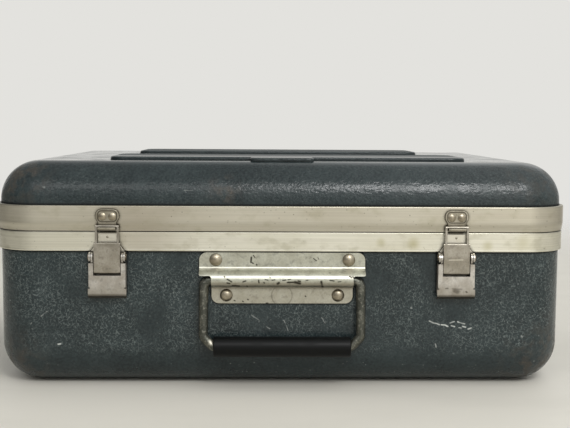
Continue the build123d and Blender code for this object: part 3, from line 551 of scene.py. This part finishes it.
def wall_path():
    """Corner centres and outward directions along the walls, from the rear joint round to it again.

    A point of the path is centre + radius * direction. The centre slides along the straight
    stretches while the direction stands still, and the direction turns round each corner.
    """
    straight_steps, corner_steps = 28, 14
    across, along = shell_high.x - plan_corner_radius, shell_high.y - plan_corner_radius
    joint = band_joint_slit / 2
    centre_x = [joint, across, across, across, across, -across, -across, -across, -across, -joint]
    centre_y = [along, along, along, -along, -along, -along, -along, along, along, along]
    heading = np.radians([90, 90, 0, 0, -90, -90, -180, -180, -270, -270])
    steps = [straight_steps, corner_steps] * 4 + [straight_steps]
    knots = np.concatenate([k + np.arange(n) / n for k, n in enumerate(steps)] + [[len(steps)]])
    stops = np.arange(len(heading))
    centres = np.stack([np.interp(knots, stops, centre_x), np.interp(knots, stops, centre_y)], axis=1)
    turned = np.interp(knots, stops, heading)
    return centres, np.stack([np.cos(turned), np.sin(turned)], axis=1)


def carried_profile(name, profile):
    """A closed profile of (out, height) points carried along the walls and capped at both ends.

    Point = corner centre + direction * (corner radius + out), at the profile point's height.
    """
    centres, directions = wall_path()
    reach = plan_corner_radius + profile[:, 0]
    plan = centres[:, None, :] + directions[:, None, :] * reach[None, :, None]
    height = np.broadcast_to(profile[:, 1], plan.shape[:2])[..., None]
    points = np.concatenate([plan, height], axis=2)
    rings, count = plan.shape[:2]
    index = np.arange(rings * count).reshape(rings, count)
    ahead = np.roll(index, -1, axis=1)
    quads = np.stack([index[:-1], ahead[:-1], ahead[1:], index[1:]], axis=-1).reshape(-1, 4)
    faces = quads.tolist() + [index[0][::-1].tolist(), index[-1].tolist()]
    mesh = bpy.data.meshes.new(name)
    mesh.from_pydata(points.reshape(-1, 3).tolist(), [], faces)
    shape = bmesh.new()
    shape.from_mesh(mesh)
    bmesh.ops.recalc_face_normals(shape, faces=shape.faces)
    shape.to_mesh(mesh)
    shape.free()
    mesh.shade_smooth()
    return mesh


def band_face(bottom, top):
    """Out and height along the face of a band: flat, with a rolled upper edge.

    Out = proud - (roll - root of (roll squared - height above the start of the roll squared)).
    """
    flat = np.linspace(bottom, top - edge_roll, 60)[:-1]
    height = np.concatenate([flat, top - edge_roll * roll_steps])
    above = np.clip(height - top + edge_roll, 0, edge_roll)
    return band_proud - (edge_roll - np.sqrt(edge_roll**2 - above**2)), height


def base_band_profile():
    """Channel on the edge of the base: outer face, tongue, inner leg and the slot for the wall.

    A low rib runs along its face: out + rise * exp of -(height from the rib / width) squared.
    """
    bottom, slot_top = base_band_bottom, parting_height - base_band_web
    tongue_out = -(wall - tongue_width) / 2
    tongue_in = tongue_out - tongue_width
    tongue_top = parting_height + tongue_height
    leg_out = -wall - slot_clearance
    leg_in = leg_out - inner_leg
    leg_bottom = slot_top - base_leg_height
    out, height = band_face(bottom, parting_height)
    out += rib_rise * np.exp(-(((height - bottom - rib_above_edge) / rib_width) ** 2))
    inner_side = [
        (tongue_out, parting_height),
        (tongue_out, tongue_top),
        (tongue_in, tongue_top),
        (tongue_in, parting_height),
        (leg_in, parting_height),
        (leg_in, leg_bottom),
        (leg_out, leg_bottom),
        (leg_out, slot_top),
        (slot_clearance, slot_top),
        (slot_clearance, bottom),
    ]
    return np.vstack([np.stack([out, height], axis=1), inner_side])


def lid_band_profile():
    """Stepped channel on the edge of the lid, with a groove for the tongue and its inner leg.

    The step is eased in over its slope: out + step * share squared * (3 - 2 share).
    """
    bottom, top = parting_height + seam_gap, lid_band_top
    slot_bottom = bottom + lid_band_web
    groove_out = -(wall - tongue_width) / 2 + groove_clearance
    groove_in = -(wall + tongue_width) / 2 - groove_clearance
    groove_top = parting_height + tongue_height + groove_clearance
    leg_out = -wall - slot_clearance
    leg_in = leg_out - inner_leg
    leg_top = slot_bottom + lid_leg_height
    out, height = band_face(bottom, top)
    share = np.clip((height - lid_band_step + step_slope) / step_slope, 0, 1)
    out += lid_band_step_proud * share * share * (3 - 2 * share)
    inner_side = [
        (slot_clearance, top),
        (slot_clearance, slot_bottom),
        (leg_out, slot_bottom),
        (leg_out, leg_top),
        (leg_in, leg_top),
        (leg_in, bottom),
        (groove_in, bottom),
        (groove_in, groove_top),
        (groove_out, groove_top),
        (groove_out, bottom),
    ]
    return np.vstack([np.stack([out, height], axis=1), inner_side])


def banded(node, profile, material):
    """An extrusion carried along the walls in the place of its solid, with its long edges broken."""
    name = node + "_extrusion"
    piece = finished_piece(name, carried_profile(name, profile), material, node)
    round_edges(piece, "broken_edges", 0.45 * mm, 40)


def foam_mesh(node):
    """A foam solid remeshed to squares of 4 mm and relaxed, so that its edges are soft."""
    source = bpy.data.objects.new("foam_source", merged_mesh(node))
    bpy.context.scene.collection.objects.link(source)
    remesh = source.modifiers.new("squares", "REMESH")
    remesh.mode = "VOXEL"
    remesh.voxel_size = 4 * mm
    relax = source.modifiers.new("relaxed", "SMOOTH")
    relax.factor = 0.5
    relax.iterations = 3
    evaluated = source.evaluated_get(bpy.context.evaluated_depsgraph_get())
    mesh = bpy.data.meshes.new_from_object(evaluated)
    bpy.data.objects.remove(source)
    mesh.shade_smooth()
    return mesh


def mesh_points(mesh):
    """Vertex places and normals of a mesh as arrays."""
    points = np.zeros(len(mesh.vertices) * 3)
    mesh.vertices.foreach_get("co", points)
    normals = np.zeros(len(mesh.vertices) * 3)
    mesh.vertices.foreach_get("normal", normals)
    return points.reshape(-1, 3), normals.reshape(-1, 3)


def settle(points, depth, size):
    """How far foam has sunk at each point: depth * (half + a sixth of three slow waves across it)."""
    x, y = points[:, 0] / size, points[:, 1] / size
    waves = np.sin(2.1 * x + 0.7 * y) + np.sin(1.3 * y - 0.9 * x + 2) + np.sin(3.1 * x - 1.7 * y + 1)
    return depth * (0.5 + waves / 6)


def base_lining(material):
    """Base foam: cut compartments with soft rims, sunk a little where things have lain on it."""
    sunk, dent_size = 1.4 * mm, 70 * mm
    mesh = foam_mesh("base_foam")
    points, normals = mesh_points(mesh)
    points[:, 2] -= settle(points, sunk, dent_size) * (normals[:, 2] > 0.3)
    mesh.vertices.foreach_set("co", points.ravel())
    piece = finished_piece("base_foam_lining", mesh, material, "base_foam")


def lid_lining(material):
    """Lid foam with a convoluted face, flat along its rim.

    Depth = share inside the rim * half the swing * (1 - cos of x * cos of y), a turn to a pitch.
    """
    pitch, swing, rim = 34 * mm, 11 * mm, 16 * mm
    mesh = foam_mesh("lid_foam")
    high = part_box("lid_foam")[1]
    points, normals = mesh_points(mesh)
    x, y = points[:, 0], points[:, 1]
    waves = np.cos(2 * pi * x / pitch) * np.cos(2 * pi * y / pitch)
    inside = np.minimum(high.x - np.abs(x), high.y - np.abs(y))
    share = np.clip((inside - rim / 2) / rim, 0, 1) * (normals[:, 2] < -0.5)
    points[:, 2] += 0.5 * swing * (1 - waves) * share
    mesh.vertices.foreach_set("co", points.ravel())
    piece = finished_piece("lid_foam_lining", mesh, material, "lid_foam")


def pale_table():
    """A round table top that the case stands on."""
    bpy.ops.mesh.primitive_circle_add(vertices=96, radius=table_radius, fill_type="NGON")
    table = bpy.context.object
    table.name = "table"
    table.data.materials.append(pale_paint())


def pale_room():
    """Light of a pale room: brighter on the right and above the table, weaker aside and behind.

    The camera sees a plain wall at a strength of 1 in its place, and so do rays through clear
    things and metal that mirrors the low part of the wall behind the case.
    """
    world = bpy.data.worlds.new("pale_room")
    bpy.context.scene.world = world
    world.use_nodes = True
    world.node_tree.nodes.clear()
    add = partial(add_node, world.node_tree)
    path = add("LightPath")
    direction = add("SeparateXYZ", {0: add("TexCoord").outputs["Generated"]})
    across, along, up = direction.outputs

    # Factors of the light's strength, each by one component of the direction
    right = add("MapRange", {0: across, 1: -0.02, 2: 0.3, 3: 0.8, 4: 2.05}).outputs[0]
    behind = add("MapRange", {0: along, 1: -0.1, 2: 0.5, 3: 1.0, 4: 0.6}).outputs[0]
    sideways = add("Math", {0: across}, operation="ABSOLUTE").outputs[0]
    aside = add("MapRange", {0: sideways, 1: 0.3, 2: 0.75, 3: 1.0, 4: 0.5}, **gentle).outputs[0]
    window = add("MapRange", {0: up, 1: 0.1, 2: 0.32, 3: 1.0, 4: 1.7}, **gentle).outputs[0]
    ceiling = add("MapRange", {0: up, 1: 0.55, 2: 0.85, 3: 1.0, 4: 0.75}, **gentle).outputs[0]
    by_height = where_all(add, window, ceiling)
    room_level = where_all(add, right, aside, behind, by_height, room_brightness)
    below = add("MapRange", {0: up, 1: 0.1, 2: -0.1}).outputs[0]
    room_colour = coated(add, "#f4f5f4", "#e6dfd0", below)

    rear = add("MapRange", {0: along, 1: 0.6, 2: 0.9}, **gentle).outputs[0]
    low = add("MapRange", {0: up, 1: 0.5, 2: 0.2}, **gentle).outputs[0]
    in_metal = where_all(add, rear, low, path.outputs["Is Glossy Ray"])
    shown = where_any(add, path.outputs["Is Camera Ray"], path.outputs["Is Transmission Ray"], in_metal)
    wall_light = add("Background", {"Color": linear("#e3e2de"), "Strength": 1.0})
    room_light = add("Background", {"Color": room_colour, "Strength": room_level})
    seen = add("MixShader", {0: shown, 1: room_light.outputs[0], 2: wall_light.outputs[0]})
    add("OutputWorld", {"Surface": seen.outputs[0]})


def soft_lamp(name, place, aim, size, power):
    """A rectangular lamp at a place, turned to what it lights."""
    lamp = bpy.data.lights.new(name, "AREA")
    lamp.shape = "RECTANGLE"
    lamp.size, lamp.size_y = size
    lamp.energy = power
    holder = bpy.data.objects.new(name, lamp)
    bpy.context.scene.collection.objects.link(holder)
    holder.location = place
    holder.rotation_euler = (Vector(aim) - Vector(place)).to_track_quat("-Z", "Y").to_euler()


def picture_camera():
    """The camera at the picture's place: turned by yaw, pitch and roll in that order."""
    data = bpy.data.cameras.new("picture_camera")
    data.sensor_width = sensor_width
    data.lens = sensor_width * focal_length_pixels / picture_width
    camera = bpy.data.objects.new("picture_camera", data)
    bpy.context.scene.collection.objects.link(camera)
    turn = Matrix.Rotation(radians(-camera_yaw), 4, "Z")
    turn = turn @ Matrix.Rotation(radians(90 - camera_pitch), 4, "X")
    turn = turn @ Matrix.Rotation(radians(camera_roll), 4, "Z")
    camera.matrix_world = Matrix.Translation(camera_place) @ turn
    bpy.context.scene.camera = camera


# Scratches on the shells: start, end and width in millimetres, then strength
base_strokes = [
    ((127.8, -185, 57.6), (136.0, -185, 55.0), 0.9, 0.8),
    ((137.9, -185, 54.9), (143.5, -185, 53.6), 0.9, 0.9),
    ((146.7, -185, 54.1), (149.8, -185, 53.5), 0.8, 0.7),
    ((145.4, -185, 56.6), (149.1, -185, 57.4), 0.7, 0.6),
    ((152.2, -185, 57.4), (157.7, -185, 56.0), 0.9, 0.9),
    ((153.4, -185, 52.3), (155.5, -185, 51.8), 0.7, 0.6),
    ((156.8, -185, 53.6), (158.7, -185, 53.0), 0.8, 0.8),
    ((161.2, -185, 51.6), (163.7, -185, 52.4), 0.9, 0.8),
    ((132.9, -185, 37.7), (133.5, -185, 35.5), 0.8, 0.45),
    ((207.8, -185, 45.5), (208.2, -185, 44.6), 1.0, 0.45),
    ((111.1, -185, 69.6), (111.5, -185, 69.6), 0.9, 0.5),
    ((-225.7, -185, 104.9), (-220.7, -185, 104.4), 1.5, 0.9),
    ((-207.4, -185, 26.7), (-201.5, -185, 25.4), 0.7, 0.5),
    ((-201.5, -185, 25.4), (-194.7, -185, 25.9), 0.7, 0.5),
    ((-192.1, -185, 38.3), (-190.0, -185, 38.3), 0.9, 0.95),
    ((-89.3, -185, 14.7), (-83.8, -185, 15.3), 0.9, 0.75),
    ((-206.8, -185, 62.0), (-200.9, -185, 66.3), 0.6, 0.3),
    ((-218.0, -185, 50.8), (-214.5, -185, 55.7), 0.6, 0.3),
    ((-26.3, -185, 63.3), (-18.9, -185, 57.7), 0.6, 0.25),
    ((-17.6, -185, 56.8), (-10.1, -185, 50.9), 0.6, 0.35),
    ((1.6, -185, 59.0), (4.8, -185, 49.7), 0.6, 0.4),
    ((34.1, -185, 60.8), (38.0, -185, 56.4), 0.6, 0.3),
]
lid_strokes = [
    ((-223.9, -179, 177.2), (-223.1, -180, 176.4), 1.6, 0.35),
    ((-210.4, -180, 171.5), (-207.5, -181, 171.9), 1.6, 0.3),
    ((-204.9, -181, 172.0), (-202.5, -182, 172.0), 1.4, 0.25),
    ((-83.6, -183, 175.3), (-76.5, -183, 175.3), 0.6, 0.25),
    ((-83.6, -184, 170.7), (-76.5, -184, 170.7), 0.6, 0.25),
    ((193.8, -181, 186.1), (194.3, -180, 186.0), 1.0, 0.8),
    ((158.0, -181, 182.2), (161.2, -181, 182.0), 0.8, 0.45),
    ((213.6, -181, 169.9), (214.6, -180, 169.5), 1.2, 0.4),
]

# A gouge: start, end and width in millimetres
base_gouges = [((191.5, -185, 23.5), (199.8, -185, 23.5), 1.1)]

# Worn places of the shells: centre and radius in millimetres, then strength
base_worn = [((232, -170, 18), 60, 0.9), ((-232, -170, 16), 48, 0.7)]
lid_worn = [
    ((-228, -170, 178), 42, 0.9),
    ((222, -168, 182), 52, 0.45),
    ((-50, -183, 169), 22, 0.7),
]

# Nets of scores in the plastic and of scuffs in the bands: turn in degrees, length, width,
# spacing, and share of the net's cells
plastic_scores = [
    (38, 3.2 * mm, 0.75 * mm, 1.5 * mm, 0.6),
    (-46, 2.8 * mm, 0.75 * mm, 1.6 * mm, 0.6),
    (82, 3.6 * mm, 0.75 * mm, 1.7 * mm, 0.55),
]
band_scuffs = [
    (30, 5 * mm, 0.7 * mm, 4 * mm, 0.35),
    (-60, 4 * mm, 0.7 * mm, 4 * mm, 0.35),
    (8, 9 * mm, 0.7 * mm, 4 * mm, 0.35),
]

# Stains on the bands: centre and radius in millimetres, and tone
band_stains = [
    ((112, -188, 126), 8, "#a8a06c"),
    ((176, -188, 124), 7, "#b3ad84"),
    ((84, -188, 127), 6, "#b8b28a"),
    ((206, -188, 127), 10, "#bdb89a"),
    ((-120, -188, 139), 60, "#a79d8c"),
]

# Changes of the bands' tone with height: start, end, tone and strength
lid_band_shades = [
    (lid_band_step + 4 * mm, lid_band_step - 2 * mm, "#8f8a7c", 0.25),
    (lid_band_top - 1.4 * mm, lid_band_top - 0.6 * mm, "#857f6e", 0.5),
]
base_band_shades = [(parting_height - 1.4 * mm, parting_height - 0.6 * mm, "#857f6e", 0.5)]

# Scratches on the handle plate: start, end and width in millimetres
plate_strokes = [
    ((-26.5, -186.6, 113.5), (-26.9, -186.6, 109.4), 1.1),
    ((-24.9, -186.6, 115.3), (-23.4, -186.6, 113.3), 0.6),
    ((-26.6, -186.6, 109.4), (-24.9, -186.6, 108.3), 0.8),
    ((-22.1, -186.6, 107.4), (-21.8, -186.6, 107.0), 0.9),
    ((-49.3, -195.1, 98.2), (-48.9, -195.4, 97.7), 0.9),
    ((-46.8, -196.0, 96.1), (-43.2, -196.1, 93.9), 0.9),
    ((-33.4, -196.1, 93.9), (-31.2, -196.1, 94.7), 0.9),
    ((-20.2, -196.1, 95.1), (-19.9, -195.9, 93.1), 0.9),
    ((-15.8, -195.9, 93.3), (-15.3, -195.9, 92.9), 0.9),
    ((-42.4, -194.6, 90.4), (-36.7, -194.2, 90.0), 1.1),
    ((-30.2, -194.2, 89.9), (-29.8, -193.8, 89.6), 0.9),
    ((-46.8, -195.8, 92.8), (-44.8, -195.7, 92.3), 1.1),
    ((32.9, -196.1, 94.1), (34.4, -192.9, 89.0), 1.5),
    ((57.1, -195.0, 98.5), (58.6, -195.4, 97.7), 1.2),
    ((59.7, -195.1, 98.2), (61.0, -195.7, 97.1), 1.2),
    ((10.6, -196.0, 93.7), (14.7, -195.8, 92.6), 1.8),
    ((13.3, -196.1, 94.7), (15.0, -196.1, 94.4), 1.1),
    ((4.3, -196.0, 93.4), (10.2, -196.0, 93.7), 1.1),
    ((-4.1, -195.6, 92.2), (-3.1, -195.9, 93.1), 1.5),
    ((-10.9, -195.3, 97.8), (-10.3, -195.5, 97.5), 0.8),
    ((-14.8, -196.0, 95.9), (-12.3, -196.1, 95.3), 0.6),
    ((-8.9, -196.1, 95.2), (-6.4, -196.0, 95.7), 0.6),
    ((0.2, -196.1, 95.1), (2.5, -196.1, 95.5), 0.8),
    ((4.7, -196.0, 95.9), (7.0, -195.9, 96.3), 0.6),
    ((19.9, -196.1, 95.1), (21.6, -196.1, 95.4), 0.6),
    ((40.3, -196.1, 95.4), (43.7, -196.1, 94.8), 0.8),
    ((47.1, -196.1, 94.0), (49.6, -196.1, 94.3), 0.6),
    ((-33.9, -186.6, 75.6), (-33.4, -186.6, 75.3), 0.8),
    ((-29.6, -186.6, 77.2), (-29.1, -186.6, 76.9), 0.8),
    ((-41.1, -186.6, 76.3), (-40.4, -186.6, 75.9), 0.8),
    ((19.8, -186.6, 80.2), (20.3, -186.6, 79.8), 0.8),
    ((-13.8, -186.6, 74.1), (-12.1, -186.6, 74.1), 0.6),
    ((26.6, -186.6, 112.9), (29.2, -186.6, 110.7), 0.6),
    ((30.4, -186.6, 113.7), (31.2, -186.6, 111.9), 0.4),
]

# A rubbed ring on the plate: centre, radius and width in millimetres
plate_rings = [((-0.3, -186.6, 80.6), 8.8, 0.8)]

# Dark line round each strike: centre, half size, corner radius and width in millimetres
strike_outlines = [((148.5, 148.6), (8.0, 4.6), 3.4, 0.8)]

# Old grease and dirt of the latches, whose tone also paints shade in their corners and along the
# levers' lower edges
latch_grime_and_shade = "#403a30"

# Painted highlights on the bends and painted shade on the slope and under the bead of the handle
# plate, a scratch on the links and marks on the levers: start, end and width in millimetres, then tone
# and strength
plate_painted_light = [
    ((-72, -187.0, 103.4), (72, -187.0, 103.4), 2.0, "#f4f1e2", 0.75),
    ((-72, -189.8, 100.6), (72, -189.8, 100.6), 2.2, "#7d7462", 0.55),
    ((-60, -195.0, 98.0), (60, -195.0, 98.0), 1.5, "#f4f1e2", 0.6),
    ((-60, -195.4, 91.6), (60, -195.4, 91.6), 2.6, "#857a69", 0.5),
]
link_stripes = [((141.9, -193.2, 112.6), (153.7, -193.2, 112.8), 0.55, "#ece6d6", 0.6)]
lever_stripes = [
    ((147.2, -193.7, 86.2), (149.6, -193.7, 85.2), 2.6, latch_grime_and_shade, 0.6),
    ((145.2, -193.7, 88.0), (152.4, -193.7, 87.6), 1.0, latch_grime_and_shade, 0.35),
    ((157.0, -193.7, 85.4), (157.6, -193.7, 85.0), 1.1, latch_grime_and_shade, 0.8),
    ((139.5, -193.7, 88.2), (141.2, -193.7, 88.4), 0.9, latch_grime_and_shade, 0.6),
]

# Changes of tone with height on the sheet metal: start, end, tone and strength
plate_shades = [(92 * mm, 87 * mm, "#9b8f80", 0.32)]
latch_base_shades = [(118 * mm, 122 * mm, "#e2ded0", 0.8)]
# Painted shade on the levers: darker towards the bottom and darkest along the lower edge
lever_painted_shade = [
    (93 * mm, 84 * mm, "#857e6f", 0.45),
    (83.6 * mm, 81.6 * mm, latch_grime_and_shade, 0.7),
]

# Bare steel on the bail: centre and radius in millimetres
bare_steel_spot = ((-60, -197, 42), 4)

base_plastic = moulded_plastic("pebbled_abs_base", base_strokes, base_gouges, base_worn, wear=1.0)
lid_plastic = moulded_plastic("pebbled_abs_lid", lid_strokes, [], lid_worn, wear=0.24)
upper_aluminium = aged_aluminium(
    "satin_aluminium_lid_band", "#c9c3b3", "#cfcabb", band_stains, lid_band_shades
)
lower_aluminium = aged_aluminium(
    "satin_aluminium_base_band", "#e2dfce", "#e9e6d8", band_stains, base_band_shades
)
latch_steel = plated_steel("nickel_plated_latch_steel", "#9c9686", "#b8b2a3", latch_grime_and_shade)
link_steel = plated_steel(
    "nickel_plated_links", "#989285", "#b4aea2", latch_grime_and_shade, stripes_and_painted_light=link_stripes
)
plate_steel = plated_steel(
    "zinc_plated_handle_sheet", "#bab9aa", "#cbcbbd", "#2e2a23", plate_strokes, plate_rings,
    shades=plate_shades, stripes_and_painted_light=plate_painted_light, pit_share=0.14, roughest=0.44,
)
rivet_steel = plated_steel("nickel_plated_rivets", "#988f7d", "#b6ad99", "#4f4032", corner_shade_share=0.9)
strike_steel = plated_steel(
    "nickel_plated_strikes", "#a39d8d", "#bab4a5", latch_grime_and_shade, outlines=strike_outlines
)
base_plate_steel = plated_steel(
    "nickel_plated_latch_bases", "#b8b3a9", "#d2cdc4", latch_grime_and_shade, shades=latch_base_shades
)
lever_steel = plated_steel(
    "nickel_plated_levers", "#b6b0a7", "#d4d0c9", latch_grime_and_shade,
    shades=lever_painted_shade, stripes_and_painted_light=lever_stripes, pit_share=0.3,
)
lining_foam = charcoal_foam()

# Solids that stay as they are and get a finish
kept_solids = {
    "base_shell": base_plastic,
    "lid_shell": lid_plastic,
    "handle_bail": blackened_steel(),
    "handle_grip": black_vinyl(),
}
for node, finish in kept_solids.items():
    frame["nodes"][node].data.materials.clear()
    frame["nodes"][node].data.materials.append(finish)

# Finish and edge radius of the small metal pieces by their slot, then the kinds of piece whose
# finish is another one. A kind is the node's name without its side.
slot_finishes = {
    "pressed_plate": (plate_steel, 0.5 * mm),
    "latch_steel": (latch_steel, 0.3 * mm),
    "hinge_steel": (latch_steel, 0.3 * mm),
    "rivet_steel": (rivet_steel, 0.12 * mm),
}
own_finishes = {
    "latch_strike": strike_steel,
    "latch_base": base_plate_steel,
    "latch_lever": lever_steel,
    "latch_link": link_steel,
    "latch_tongue_rivet": latch_steel,
}
for node, slot in node_slots.items():
    if slot in slot_finishes:
        finish, edge = slot_finishes[slot]
        kind = node.rsplit("_", 1)[0]
        softened(node, own_finishes.get(kind, finish), edge)

banded("base_band", base_band_profile(), lower_aluminium)
banded("lid_band", lid_band_profile(), upper_aluminium)
base_lining(lining_foam)
lid_lining(lining_foam)

pale_table()
pale_room()
for lamp in lamps:
    soft_lamp(*lamp)
picture_camera()
bpy.context.scene.view_settings.view_transform = "Standard"
